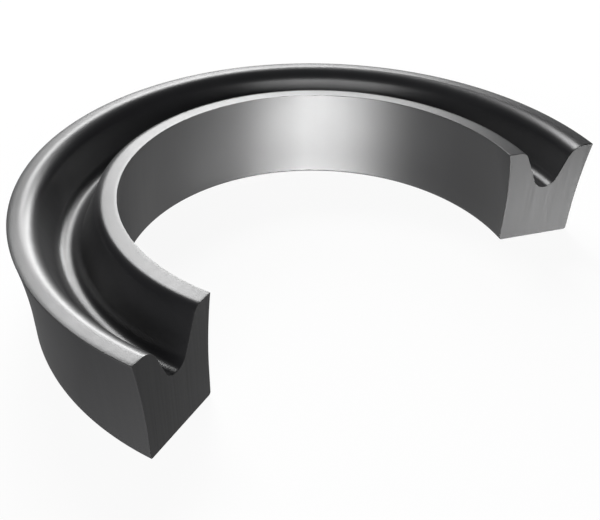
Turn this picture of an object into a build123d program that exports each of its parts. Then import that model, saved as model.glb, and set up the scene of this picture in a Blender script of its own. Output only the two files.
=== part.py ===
from build123d import *
import os
from math import cos, radians, sin, tan

# Sectioned piston seal: a single-acting U-cup ring, moulded in one piece of rubber,
# with a sector cut out of it so that its section can be seen.
# Millimetres. The ring's axis is Z, the heel's flat face lies on z = 0, and the lips
# open upwards. The gap of the cut-out sector is centred on -Y.

# Housing that the seal is made for
bore_radius = 25.0
groove_floor_radius = 17.5

# Heel, the solid half of the section, a little clear of both walls of the housing
heel_outer_radius = bore_radius - 0.1
heel_inner_radius = groove_floor_radius + 0.25
heel_chamfer = 0.25
outer_heel_height = 2.0
inner_heel_height = 2.6

# Lips, which flare past both walls of the housing, so that they are squeezed when fitted
seal_height = 9.1
lip_outer_radius = bore_radius + 0.5
lip_inner_radius = groove_floor_radius - 0.4
outer_crest_rounding = 1.6
inner_crest_rounding = 0.9

# Groove between the lips: straight sides that run into a round valley
groove_radius = 21.35
groove_depth = 3.85
outer_side_angle = 21.0
inner_side_angle = 25.0
valley_rounding = 1.2

# Sector that the cut takes away, seen along the ring's axis
cut_out_angle = 136.2

valley_centre_height = seal_height - groove_depth + valley_rounding
valley_bottom = (groove_radius, seal_height - groove_depth)


def groove_side(angle, direction):
    """Where one side touches the valley, and where it would meet its lip's flat top.

    The direction is 1 for the outer lip's side and -1 for the inner lip's.
    """
    foot_radius = groove_radius + direction * valley_rounding * cos(radians(angle))
    foot_height = valley_centre_height - valley_rounding * sin(radians(angle))
    spread = direction * (seal_height - foot_height) * tan(radians(angle))
    return (foot_radius, foot_height), (foot_radius + spread, seal_height)


outer_foot, outer_crest = groove_side(outer_side_angle, 1)
inner_foot, inner_crest = groove_side(inner_side_angle, -1)

# The first cut face stands at the right end of the gap, and the section turns from
# there through the rest of the circle
first_cut_angle = radians(cut_out_angle / 2 - 90)
away_from_axis = (cos(first_cut_angle), sin(first_cut_angle), 0)
into_gap = (sin(first_cut_angle), -cos(first_cut_angle), 0)
first_cut_plane = Plane(origin=(0, 0, 0), x_dir=away_from_axis, z_dir=into_gap)

with BuildPart() as seal_ring:
    with BuildSketch(first_cut_plane) as section:
        with BuildLine():
            Line((heel_inner_radius, 0), (heel_outer_radius, 0))
            Line((heel_outer_radius, 0), (heel_outer_radius, outer_heel_height))
            TangentArc(
                (heel_outer_radius, outer_heel_height),
                (lip_outer_radius, seal_height),
                tangent=(0, 1),
            )
            Line((lip_outer_radius, seal_height), outer_crest)
            Line(outer_crest, outer_foot)
            ThreePointArc(outer_foot, valley_bottom, inner_foot)
            Line(inner_foot, inner_crest)
            Line(inner_crest, (lip_inner_radius, seal_height))
            TangentArc(
                (heel_inner_radius, inner_heel_height),
                (lip_inner_radius, seal_height),
                tangent=(0, 1),
            )
            Line((heel_inner_radius, inner_heel_height), (heel_inner_radius, 0))
        make_face()

        # Break the heel's two corners, so that they clear the fillets of the groove
        heel_corners = section.vertices().group_by(Axis.Y)[0]
        chamfer(heel_corners, length=heel_chamfer)

        # Round each lip's top edge where it turns down into the groove: of the four
        # corners at the top, from the hole outwards, those are the middle two
        lip_corners = section.vertices().group_by(Axis.Y)[-1].sort_by(Axis.X)
        fillet(lip_corners[1], radius=inner_crest_rounding)
        lip_corners = section.vertices().group_by(Axis.Y)[-1].sort_by(Axis.X)
        fillet(lip_corners[-2], radius=outer_crest_rounding)
    revolve(axis=Axis.Z, revolution_arc=360 - cut_out_angle)

seal_ring.part.label = "seal_ring"

os.makedirs("parts", exist_ok=True)
export_step(seal_ring.part, "parts/seal_ring.step")
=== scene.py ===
# %% [markdown]
# # A sectioned piston seal
# The object is a ring of moulded rubber that seals a piston against the wall of a
# cylinder. Its section is a thick heel with two lips above it and a groove between
# them. A sector has been cut out of the ring, so both cut ends show that section.
# The lesson loads the CAD solid as a fixed frame, draws a finer skin over it, gives
# the skin two finishes, and lights it on a white table.

from cmath import exp, phase
from math import asin, cos, pi, radians, sin, tan

import bpy
from mathutils import Matrix, Vector


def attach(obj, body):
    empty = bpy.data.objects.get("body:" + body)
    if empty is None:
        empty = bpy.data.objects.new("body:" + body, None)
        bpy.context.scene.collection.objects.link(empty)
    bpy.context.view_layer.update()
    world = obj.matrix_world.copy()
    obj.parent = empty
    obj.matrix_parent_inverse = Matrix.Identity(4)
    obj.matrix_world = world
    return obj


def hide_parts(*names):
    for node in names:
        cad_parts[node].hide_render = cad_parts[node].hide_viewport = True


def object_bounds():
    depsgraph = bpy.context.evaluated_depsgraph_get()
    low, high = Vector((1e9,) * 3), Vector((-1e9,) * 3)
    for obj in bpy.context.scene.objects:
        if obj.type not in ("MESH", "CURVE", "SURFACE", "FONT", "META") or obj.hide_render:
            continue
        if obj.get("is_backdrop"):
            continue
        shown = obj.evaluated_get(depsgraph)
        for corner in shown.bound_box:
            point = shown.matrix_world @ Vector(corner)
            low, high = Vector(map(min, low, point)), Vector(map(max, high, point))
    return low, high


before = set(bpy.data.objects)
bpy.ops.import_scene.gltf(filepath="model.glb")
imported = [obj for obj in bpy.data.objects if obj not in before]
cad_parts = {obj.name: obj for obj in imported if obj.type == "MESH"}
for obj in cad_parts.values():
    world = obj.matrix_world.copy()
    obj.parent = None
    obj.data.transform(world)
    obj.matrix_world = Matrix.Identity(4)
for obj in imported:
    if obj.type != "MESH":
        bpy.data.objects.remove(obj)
cad_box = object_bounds()
MM = 0.001

print("CAD nodes:", list(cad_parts))
print("CAD box in mm:", [[round(v / MM, 2) for v in corner] for corner in cad_box])

# %% [markdown]
# ## The camera
# A camera can be aimed by a Track To constraint, or by angles. Angles are used here,
# because the picture was taken a little off the ring's centre and with a slight tilt
# of the horizon, and each of those is one number. The camera stands outside the
# opening of the ring and looks down into it.

# %% Place the camera
camera_azimuth = radians(227.65)
camera_distance = 56.53 * MM
camera_height = 42.06 * MM
camera_heading = radians(51.46)
camera_dip = radians(36.03)
camera_roll = radians(0.63)
sensor_width = 36
focal_length = 47.06
picture_width = 600
pixels_aside = 20
nearest_seen = 1 * MM
farthest_seen = 10


def around(azimuth, distance, height):
    """A point at that azimuth round the ring's axis."""
    return Vector((distance * cos(azimuth), distance * sin(azimuth), height))


camera = bpy.data.objects.new("camera", bpy.data.cameras.new("camera"))
bpy.context.collection.objects.link(camera)
camera.data.sensor_width = sensor_width
camera.data.lens = focal_length
camera.data.shift_x = pixels_aside / picture_width
camera.data.clip_start = nearest_seen
camera.data.clip_end = farthest_seen
camera.matrix_world = (
    Matrix.Translation(around(camera_azimuth, camera_distance, camera_height))
    @ Matrix.Rotation(camera_heading - pi / 2, 4, "Z")
    @ Matrix.Rotation(pi / 2 - camera_dip, 4, "X")
    @ Matrix.Rotation(camera_roll, 4, "Z")
)
bpy.context.scene.camera = camera
print("camera at", [round(v / MM, 1) for v in camera.matrix_world.translation], "mm")

# %% [markdown]
# ## The sizes of the section
# These are the sizes that the CAD solid was drawn with, so the skin lies on the solid.
# Radii are measured from the ring's axis, and heights from the heel's flat face. The
# solid has plain chamfers at the heel and sharp edges at the lips. The skin rounds
# them a little, because a moulded edge always catches some light.

# %% Write down the sizes
heel_outer_radius = 24.9 * MM
heel_inner_radius = 17.75 * MM
outer_heel_rounding = 0.20 * MM
inner_heel_rounding = 0.25 * MM
outer_heel_height = 2.0 * MM
inner_heel_height = 2.6 * MM
seal_height = 9.1 * MM
lip_outer_radius = 25.5 * MM
lip_inner_radius = 17.1 * MM
lip_edge_rounding = 0.03 * MM
outer_crest_rounding = 1.6 * MM
inner_crest_rounding = 0.9 * MM
groove_radius = 21.35 * MM
groove_depth = 3.85 * MM
outer_side_angle = radians(21)
inner_side_angle = radians(25)
valley_rounding = 1.2 * MM
cut_out_angle = radians(136.2)
print("section:", round((heel_outer_radius - heel_inner_radius) / MM, 2), "mm wide at the heel")

# %% [markdown]
# ## The outline of the section
# An outline is a row of points in a plane. A complex number holds such a point, the
# radius as its real part and the height as its imaginary part, and then turning a
# point about another is one multiplication. Each corner carries its own rounding.
# The walls of the seal aren't straight: they leave the heel upright and lean further
# out as they rise, so each is an arc.


# %% Bend a wall and round a corner
wall_steps = 20


def flared_wall(foot, top):
    """Points of an arc that leaves its foot upright and ends at its top."""
    run, rise = (top - foot).real, (top - foot).imag
    bend = (run**2 + rise**2) / (2 * run)
    lean = asin(rise / abs(bend))
    angles = [lean * i / wall_steps for i in range(wall_steps + 1)]
    return [foot + bend * (1 - cos(a)) + 1j * abs(bend) * sin(a) for a in angles]


def rounded_corner(before, corner, after, rounding, steps):
    """Points of the arc that takes a corner's place."""
    one_way = (before - corner) / abs(before - corner)
    other_way = (after - corner) / abs(after - corner)
    half_angle = abs(phase(other_way / one_way)) / 2
    middle = one_way + other_way
    centre = corner + middle / abs(middle) * rounding / sin(half_angle)
    start = corner + one_way * rounding / tan(half_angle) - centre
    end = corner + other_way * rounding / tan(half_angle) - centre
    turn = phase(end / start)
    return [centre + start * exp(1j * turn * i / steps) for i in range(steps + 1)]


# %% [markdown]
# The outline starts at the heel, goes up the outer wall, over the outer lip, through
# the groove's round valley, over the inner lip and back down the inner wall. A long
# straight run is divided as well, so that the smooth shading has nothing to bend.

# %% Draw the outline
heel_corner_steps = 8
lip_edge_steps = 4
outer_crest_steps = 14
inner_crest_steps = 12
valley_steps = 20
longest_run = 0.3 * MM
valley_centre = complex(groove_radius, seal_height - groove_depth + valley_rounding)


def crest_corner(angle, direction):
    """Where one side of the groove would meet its lip's flat top."""
    foot = valley_centre + valley_rounding * complex(direction * cos(angle), -sin(angle))
    rise = seal_height - foot.imag
    return foot + complex(direction * rise * tan(angle), rise)


def section_corners():
    """The outline's corners in turn, each with its rounding and its arc's steps."""
    outer_wall = flared_wall(
        complex(heel_outer_radius, outer_heel_height), complex(lip_outer_radius, seal_height)
    )
    inner_wall = flared_wall(
        complex(heel_inner_radius, inner_heel_height), complex(lip_inner_radius, seal_height)
    )
    valley_turn = pi - outer_side_angle - inner_side_angle
    valley_angles = [
        outer_side_angle + valley_turn * i / valley_steps for i in range(valley_steps + 1)
    ]
    valley = [valley_centre + valley_rounding * exp(-1j * angle) for angle in valley_angles]
    return (
        [(complex(heel_inner_radius, 0), inner_heel_rounding, heel_corner_steps)]
        + [(complex(heel_outer_radius, 0), outer_heel_rounding, heel_corner_steps)]
        + [(point, 0, 0) for point in outer_wall[:-1]]
        + [(outer_wall[-1], lip_edge_rounding, lip_edge_steps)]
        + [(crest_corner(outer_side_angle, 1), outer_crest_rounding, outer_crest_steps)]
        + [(point, 0, 0) for point in valley]
        + [(crest_corner(inner_side_angle, -1), inner_crest_rounding, inner_crest_steps)]
        + [(inner_wall[-1], lip_edge_rounding, lip_edge_steps)]
        + [(point, 0, 0) for point in reversed(inner_wall[:-1])]
    )


def section_outline():
    """The whole outline as a closed row of points, in a plane through the axis."""
    corners = section_corners()
    row = []
    for i, (corner, rounding, steps) in enumerate(corners):
        before = corners[i - 1][0]
        after = corners[(i + 1) % len(corners)][0]
        row += rounded_corner(before, corner, after, rounding, steps) if rounding else [corner]
    divided = []
    for start, end in zip(row, row[1:] + row[:1]):
        parts = max(1, round(abs(end - start) / longest_run))
        divided += [start + (end - start) * i / parts for i in range(parts)]
    return divided


outline = section_outline()
print("the outline has", len(outline), "points")

# %% [markdown]
# ## The skin of the ring
# The Screw modifier could turn the outline about the axis. Here the rings of points
# are placed by code, because the two ends need care: a knife leaves a sharp edge, but
# not a perfect one, so the last few rings shrink a little as they reach the cut. The
# rounding is kept very small, because a larger one would draw a bright line along the
# cut, and rubber that was cut with a sharp blade has none.

# %% Turn the outline about the axis
cut_edge_rounding = 0.012 * MM
cut_edge_steps = 4
steps_round = 420
first_cut = cut_out_angle / 2 - pi / 2
last_cut = first_cut + 2 * pi - cut_out_angle


def inward_normals(points):
    """The direction into the rubber at each point of the outline."""
    normals = []
    for i, point in enumerate(points):
        along = points[(i + 1) % len(points)] - points[i - 1]
        normals.append(1j * along / abs(along))
    return normals


def ring_of_points(angle, inset=0.0, set_back=0.0):
    """The outline at that angle, shrunk by the inset and moved back along the ring."""
    radial = Vector((cos(angle), sin(angle), 0))
    along = Vector((-sin(angle), cos(angle), 0))
    shrunk = [p + n * inset for p, n in zip(outline, inward_normals(outline))]
    return [radial * p.real + along * set_back + Vector((0, 0, p.imag)) for p in shrunk]


def cut_end_rings(angle, direction):
    """The rings that round one cut's edge, from the cut face into the rubber."""
    rings = []
    for i in range(cut_edge_steps + 1):
        slope = pi / 2 * i / cut_edge_steps
        inset = cut_edge_rounding * (1 - sin(slope))
        set_back = direction * cut_edge_rounding * (1 - cos(slope))
        rings.append(ring_of_points(angle, inset, set_back))
    return rings


first_end = cut_end_rings(first_cut, 1)
last_end = cut_end_rings(last_cut, -1)
between = [
    ring_of_points(first_cut + (last_cut - first_cut) * i / steps_round)
    for i in range(1, steps_round)
]
rings = first_end + between + last_end[::-1]
print("the skin has", len(rings), "rings of", len(outline), "points")

# %% [markdown]
# Neighbouring rings are joined by four-sided faces, and each end is closed by one face
# with many sides. The cut faces and their rounded edges get the second material, and
# only the flat faces stay without smooth shading.


# %% Build the mesh
def skin_mesh(name):
    """The ring's skin as one closed mesh."""
    count = len(outline)
    points = [p for ring in rings for p in ring]
    faces = []
    for this_ring in range(0, len(points) - count, count):
        next_ring = this_ring + count
        for i in range(count):
            j = (i + 1) % count
            faces.append((this_ring + i, this_ring + j, next_ring + j, next_ring + i))
    faces.append(tuple(reversed(range(count))))
    faces.append(tuple(range(len(points) - count, len(points))))
    mesh = bpy.data.meshes.new(name)
    mesh.from_pydata(points, [], faces)
    mesh.polygons.foreach_set("use_smooth", [True] * (len(faces) - 2) + [False] * 2)
    return mesh


seal_skin = bpy.data.objects.new("seal_skin", skin_mesh("seal_skin"))
bpy.context.collection.objects.link(seal_skin)
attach(seal_skin, "root")
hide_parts("seal_ring")

cut_strip = cut_edge_steps * len(outline)
side_faces = len(seal_skin.data.polygons) - 2
for number, face in enumerate(seal_skin.data.polygons):
    moulded = cut_strip <= number < side_faces - cut_strip
    face.material_index = 0 if moulded else 1
seal_skin.data.calc_loop_triangles()
print("triangles:", len(seal_skin.data.loop_triangles))

# %% [markdown]
# ## Shader maths in Python
# A node tree is easier to read as arithmetic. This class wraps one socket of a node.
# Adding or multiplying wrapped sockets adds the Math node for it, also where the number
# comes first, and the method called node adds any other kind: its settings come first,
# since they decide which sockets the node has, and then the values or links of them.


# %% Wrap a socket
class Wire:
    """One socket of a material, which Python's operators work with."""

    def __init__(self, tree, socket=None):
        self.tree = tree
        self.socket = socket

    def node(self, kind, settings=None, sockets=None, output=None):
        """Adds a node and gives back one of its outputs, wrapped."""
        made = self.tree.nodes.new(kind)
        for name, value in (settings or {}).items():
            setattr(made, name, value)
        for name, value in (sockets or {}).items():
            if isinstance(name, int):
                target = made.inputs[name]
            else:
                target = next(s for s in made.inputs if s.name == name and s.enabled)
            if isinstance(value, Wire):
                self.tree.links.new(value.socket, target)
            else:
                target.default_value = value
        shown = [s for s in made.outputs if s.enabled]
        found = shown[0] if output is None else next(s for s in shown if s.name == output)
        return Wire(self.tree, found)

    def math(self, operation, *values):
        """A Math node on this socket and the values after it."""
        sockets = dict(enumerate((self, *values)))
        return self.node("ShaderNodeMath", {"operation": operation}, sockets)

    def __add__(self, other):
        return self.math("ADD", other)

    def __radd__(self, other):
        return self.math("ADD", other)

    def __sub__(self, other):
        return self.math("SUBTRACT", other)

    def __rsub__(self, other):
        return self.node("ShaderNodeMath", {"operation": "SUBTRACT"}, {0: other, 1: self})

    def __mul__(self, other):
        return self.math("MULTIPLY", other)

    def __rmul__(self, other):
        return self.math("MULTIPLY", other)

    def __truediv__(self, other):
        return self.math("DIVIDE", other)

    def __rtruediv__(self, other):
        return self.node("ShaderNodeMath", {"operation": "DIVIDE"}, {0: other, 1: self})

    def clamped(self):
        """The value held between 0 and 1."""
        return self.node("ShaderNodeClamp", None, {"Value": self, "Min": 0.0, "Max": 1.0})


# %% [markdown]
# The two finishes look things up by the place of a point on the ring. A texture that
# is looked up by radius and height alone runs round the ring in lines, as the marks of
# a turned mould do. One that is looked up by the direction from the axis alone runs
# straight up the walls. Vectors go through Vector Math nodes, because the Math node
# works on single numbers.


# %% Look up places and textures
def place_on_ring(tree):
    """The point itself, its radius and its height."""
    point = Wire(tree).node("ShaderNodeTexCoord", output="Object")
    apart = point.node("ShaderNodeSeparateXYZ", None, {"Vector": point})
    x, y, z = (Wire(tree, s) for s in apart.socket.node.outputs)
    return point, (x * x + y * y).math("SQRT"), z


def direction_from_axis(point):
    """The direction from the axis to a point, whatever its radius and height."""
    kept = {0: point, 1: (1, 1, 0)}
    level = point.node("ShaderNodeVectorMath", {"operation": "MULTIPLY"}, kept)
    return level.node("ShaderNodeVectorMath", {"operation": "NORMALIZE"}, {0: level})


def noise(place, size, detail=3.0, roughness=0.5):
    """Cloudy values from 0 to 1, with clouds of about that size in metres."""
    return place.node(
        "ShaderNodeTexNoise",
        {"noise_dimensions": "3D"},
        {"Vector": place, "Scale": 1 / size, "Detail": detail, "Roughness": roughness},
    )


def colour_between(factor, dark, light):
    """A colour that goes from the dark one to the light one with the factor."""
    return factor.node(
        "ShaderNodeMix",
        {"data_type": "RGBA"},
        {"Factor": factor, "A": (*dark, 1), "B": (*light, 1)},
    )


def bent_normal(relief, strength, depth):
    """The surface's normal as the relief bends it, at that depth in metres."""
    return relief.node(
        "ShaderNodeBump", None, {"Strength": strength, "Distance": depth, "Height": relief}
    )


def new_finish(name):
    """A material with its nodes cleared, and its empty tree."""
    material = bpy.data.materials.new(name)
    material.use_nodes = True
    material.node_tree.nodes.clear()
    return material, material.node_tree


def close_finish(tree, shader):
    """Joins the shader to the material's output."""
    output = tree.nodes.new("ShaderNodeOutputMaterial")
    tree.links.new(shader.socket, output.inputs["Surface"])


# %% [markdown]
# ## Moulded rubber
# The rubber is nearly black, and its gloss is that of the mould that shaped it. The
# lips come from the part of the mould that was polished best, because they seal, and
# the outer wall from the dullest part. One even roughness would look like plastic, so
# the gloss also varies in soft patches and in streaks up the walls, the turning marks
# and a fine grain bend the light a little, and the colour is uneven.
#
# Each wall is found by its radius, below the height of the lips' flat tops. Seen
# nearly edge on, a surface as fine as this loses its mirror to its own grain. The
# Layer Weight node tells how far a point is turned away, and the roughness rises there.

# %% Make the moulded rubber
rubber_dark = (0.010, 0.010, 0.011)
rubber_light = (0.018, 0.018, 0.0195)
lip_roughness = 0.32
inner_wall_dulling = 0.12
outer_wall_dulling = 0.30
edge_on_dulling = 0.95
patch_size = 3.5 * MM
patch_gloss_change = 0.07
streak_spacing = 0.02
streak_gloss_change = 0.07
grain_size = 0.12 * MM
turning_mark_width = 0.10 * MM
moulded_relief = 0.03 * MM
moulded_relief_strength = 0.18

top_of_walls = seal_height - 0.05 * MM
inner_wall_limit = heel_inner_radius + 0.25 * MM
outer_wall_limit = heel_outer_radius - 0.2 * MM
limit_height = 0.05 * MM
limit_width = 0.1 * MM


def wall_dulling(radius, height):
    """The roughness that the two walls have above that of the lips."""
    on_a_wall = ((top_of_walls - height) / limit_height).clamped()
    inner_wall = ((inner_wall_limit - radius) / limit_width).clamped()
    outer_wall = ((radius - outer_wall_limit) / limit_width).clamped()
    return (inner_wall * inner_wall_dulling + outer_wall * outer_wall_dulling) * on_a_wall


def moulded_rubber():
    """Satin black rubber with the marks of a turned mould."""
    material, tree = new_finish("moulded_rubber")
    point, radius, height = place_on_ring(tree)
    section_place = radius.node("ShaderNodeCombineXYZ", None, {"X": radius, "Y": height})
    grain = noise(point, grain_size, detail=2)
    patches = noise(point, patch_size, detail=4, roughness=0.6)
    turning = noise(section_place, turning_mark_width, detail=2)
    streaks = noise(direction_from_axis(point), streak_spacing, detail=3)
    turned_away = point.node("ShaderNodeLayerWeight", None, {"Blend": 0.5}, output="Facing")

    colour = colour_between((patches * 0.7 + grain * 0.3).clamped(), rubber_dark, rubber_light)
    edge_on = (turned_away * 2 - 1).clamped()
    unevenness = (patches - 0.5) * patch_gloss_change + (streaks - 0.5) * streak_gloss_change
    dulling = edge_on * edge_on_dulling + wall_dulling(radius, height)
    roughness = (dulling + unevenness + lip_roughness).clamped()
    normal = bent_normal(
        grain * 0.6 + turning * 0.4, strength=moulded_relief_strength, depth=moulded_relief
    )
    shader = normal.node(
        "ShaderNodeBsdfPrincipled",
        None,
        {"Base Color": colour, "Roughness": roughness, "Normal": normal},
    )
    close_finish(tree, shader)
    return material


seal_skin.data.materials.append(moulded_rubber())
print("moulded rubber:", len(seal_skin.active_material.node_tree.nodes), "nodes")

# %% [markdown]
# ## The knife-cut ends
# A cut through rubber is matter than its moulded skin: the blade tears the surface
# slightly, and leaves fine lines along its stroke, which ran from the lips down to the
# heel. The lines are a noise that is looked up by the radius, and hardly at all by the
# height, so each value is drawn out along the stroke. A torn surface also returns less
# of what it mirrors, which is what the low level of Specular IOR Level stands for.

# %% Make the knife-cut rubber
cut_dark = (0.006, 0.006, 0.0065)
cut_light = (0.016, 0.016, 0.0170)
cut_roughness = 0.52
cut_mirror_level = 0.18
stroke_width = 0.22 * MM
stroke_stretch = 70
stroke_contrast = 1.1
stroke_gloss_change = 0.25
torn_grain_size = 0.10 * MM
torn_grain_gloss_change = 0.10
torn_relief = 0.04 * MM
torn_relief_strength = 0.12


def knife_cut_rubber():
    """Dull black rubber with the fine lines of a blade's stroke."""
    material, tree = new_finish("knife_cut_rubber")
    point, radius, height = place_on_ring(tree)
    drawn_out = {"X": radius, "Y": height / stroke_stretch}
    stroke_place = radius.node("ShaderNodeCombineXYZ", None, drawn_out)
    strokes = noise(stroke_place, stroke_width, detail=4, roughness=0.6)
    strokes = ((strokes - 0.5) * stroke_contrast + 0.5).clamped()
    grain = noise(point, torn_grain_size, detail=2)

    colour = colour_between((strokes * 0.75 + grain * 0.25).clamped(), cut_dark, cut_light)
    unevenness = (strokes - 0.5) * stroke_gloss_change + (grain - 0.5) * torn_grain_gloss_change
    normal = bent_normal(
        strokes * 0.6 + grain * 0.4, strength=torn_relief_strength, depth=torn_relief
    )
    shader = normal.node(
        "ShaderNodeBsdfPrincipled",
        None,
        {
            "Base Color": colour,
            "Roughness": unevenness + cut_roughness,
            "Specular IOR Level": cut_mirror_level,
            "Normal": normal,
        },
    )
    close_finish(tree, shader)
    return material


seal_skin.data.materials.append(knife_cut_rubber())
print("finishes:", [material.name for material in seal_skin.data.materials])

# %% [markdown]
# ## The table
# The ring lies on a plain white table that fills the picture. A table that is white
# by lamplight alone would need more light than the rubber can take, so the camera and
# the gloss see mostly its own white, and the rest is lit as usual and keeps the ring's
# soft shadow. The table lies a hair below the ring, because two faces in one plane
# would show through each other.

# %% Lay the table
table_size = 1.2
table_white = (0.96, 0.96, 0.96, 1)
table_own_white = 0.92
table_clearance = 0.01 * MM


def table_finish():
    """White to the camera and to gloss, with the shadow still showing in part."""
    material, tree = new_finish("white_table")
    start = Wire(tree)
    rays = start.node("ShaderNodeLightPath").socket.node.outputs
    seen = (
        Wire(tree, rays["Is Camera Ray"])
        + Wire(tree, rays["Is Glossy Ray"])
        + Wire(tree, rays["Is Transmission Ray"])
    )
    lit = start.node("ShaderNodeBsdfDiffuse", None, {"Color": table_white})
    white = start.node("ShaderNodeEmission", None, {"Color": (1, 1, 1, 1), "Strength": 1.0})
    shader = start.node(
        "ShaderNodeMixShader", None, {0: seen.clamped() * table_own_white, 1: lit, 2: white}
    )
    close_finish(tree, shader)
    return material


half = table_size / 2
corner_places = ((-half, -half), (half, -half), (half, half), (-half, half))
table_corners = [(x, y, -table_clearance) for x, y in corner_places]
table_mesh = bpy.data.meshes.new("table")
table_mesh.from_pydata(table_corners, [], [(0, 1, 2, 3)])
table_mesh.materials.append(table_finish())
table = bpy.data.objects.new("table", table_mesh)
bpy.context.collection.objects.link(table)
table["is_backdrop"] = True
print("table:", table_size, "m across")

# %% [markdown]
# ## The lamps
# An area lamp is a photographer's softbox as it comes: a glowing rectangle, whose size
# sets how wide and how soft its highlight is. Its level is given as the light that
# reaches the aim, since the power alone says little: pi is the light in which a white
# card that faces the lamp renders as white. A lamp with a narrow spread sends more of
# its power straight ahead, and needs less. Each lamp is hidden from the camera, so that
# only its image in the rubber shows.


# %% Make a softbox
def softbox(name, azimuth, elevation, distance, size, level, aim, spread=pi):
    """A soft rectangular lamp that points at the aim and is hidden from the camera."""
    light = bpy.data.lights.new(name, "AREA")
    light.shape = "RECTANGLE"
    light.size, light.size_y = size
    light.spread = spread
    focus = tan(spread / 2) / (tan(spread / 2) - spread / 2) if spread < pi else 1
    light.energy = level * pi * distance**2 / focus
    lamp = bpy.data.objects.new(name, light)
    bpy.context.collection.objects.link(lamp)
    away = Vector((cos(azimuth) * cos(elevation), sin(azimuth) * cos(elevation), sin(elevation)))
    lamp.location = aim + away * distance
    lamp.rotation_mode = "QUATERNION"
    lamp.rotation_quaternion = away.to_track_quat("Z", "Y")
    lamp.visible_camera = False
    print(name, "gives", round(light.energy, 3), "W")
    return lamp


# %% [markdown]
# Black satin rubber is drawn by its highlights, so each lamp stands where some of the
# surfaces mirror it to the camera. A low lamp behind the ring draws the lips' flat tops
# and their crests. A higher one beside it reaches the tops nearest the camera, which
# mirror a steeper part of the room. A wide one in front lights the far side of the
# groove. All three come in at a slant, and together with the room they light a card
# that lies in the ring's place to about its own colour.

# %% Hang the lamps above the table
lamp_distance = 0.3
ring_middle = Vector((0, 0, seal_height / 2))
softbox(
    "back_softbox",
    azimuth=radians(54),
    elevation=radians(18),
    distance=lamp_distance,
    size=(0.15, 0.12),
    level=3.0,
    aim=ring_middle,
)
softbox(
    "high_softbox",
    azimuth=radians(69),
    elevation=radians(43),
    distance=lamp_distance,
    size=(0.12, 0.07),
    level=1.75,
    aim=ring_middle,
)
softbox(
    "front_softbox",
    azimuth=radians(230),
    elevation=radians(20),
    distance=lamp_distance,
    size=(0.34, 0.08),
    level=2.8,
    aim=ring_middle,
)

# %% [markdown]
# The inner wall and the right cut end gleam too, but they stand upright, so what they
# mirror to the camera is the table. Their lamps stand under it, and light linking makes
# them light the ring alone and pass through the table. They are kept out of diffuse
# light, so they give the rubber its gleam and leave its colour as it is written.
# Multiple importance sampling is off for them: with it, a linked lamp loses part of its
# light, and how much depends on the number of the other lamps.

# %% Set the two gleam lamps under the table
band_azimuth = radians(54)
inner_wall_radius = 17.4 * MM
cut_aim_height = 4 * MM
band_middle = around(band_azimuth, inner_wall_radius, seal_height / 2)
cut_middle = around(first_cut, groove_radius, cut_aim_height)
band_lamp = softbox(
    "band_lamp",
    azimuth=radians(236),
    elevation=radians(-38),
    distance=0.060,
    size=(0.066, 0.018),
    level=24.5,
    aim=band_middle,
    spread=radians(72),
)
cut_lamp = softbox(
    "cut_lamp",
    azimuth=radians(286),
    elevation=radians(-29),
    distance=0.022,
    size=(0.018, 0.018),
    level=15.5,
    aim=cut_middle,
    spread=radians(100),
)
ring_only = bpy.data.collections.new("ring_only")
ring_only.objects.link(seal_skin)
for lamp in (band_lamp, cut_lamp):
    lamp.light_linking.receiver_collection = ring_only
    lamp.light_linking.blocker_collection = ring_only
    lamp.visible_diffuse = False
    lamp.data.cycles.use_multiple_importance_sampling = False

# %% [markdown]
# ## The room
# The rest of the room is a weak, even grey, which keeps the groove's shadow side from
# going fully black.

# %% Set the room's own light
room_grey = (0.070, 0.070, 0.072, 1)
room = bpy.data.worlds.new("room")
bpy.context.scene.world = room
room.use_nodes = True
background = room.node_tree.nodes["Background"]
background.inputs["Color"].default_value = room_grey
background.inputs["Strength"].default_value = 1.0
bpy.context.scene.view_settings.view_transform = "Standard"
print("room:", room_grey[:3])

# %% [markdown]
# ## Sizes
# The skin should stay within the solid that it stands for, so both boxes are
# printed, where they can be compared.

# %% Print the sizes
boxes = {
    "cad": [list(corner) for corner in cad_box],
    "visual": [list(corner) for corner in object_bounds()],
}
for name, box in boxes.items():
    print(name, "box in mm:", [[round(v / MM, 3) for v in corner] for corner in box])
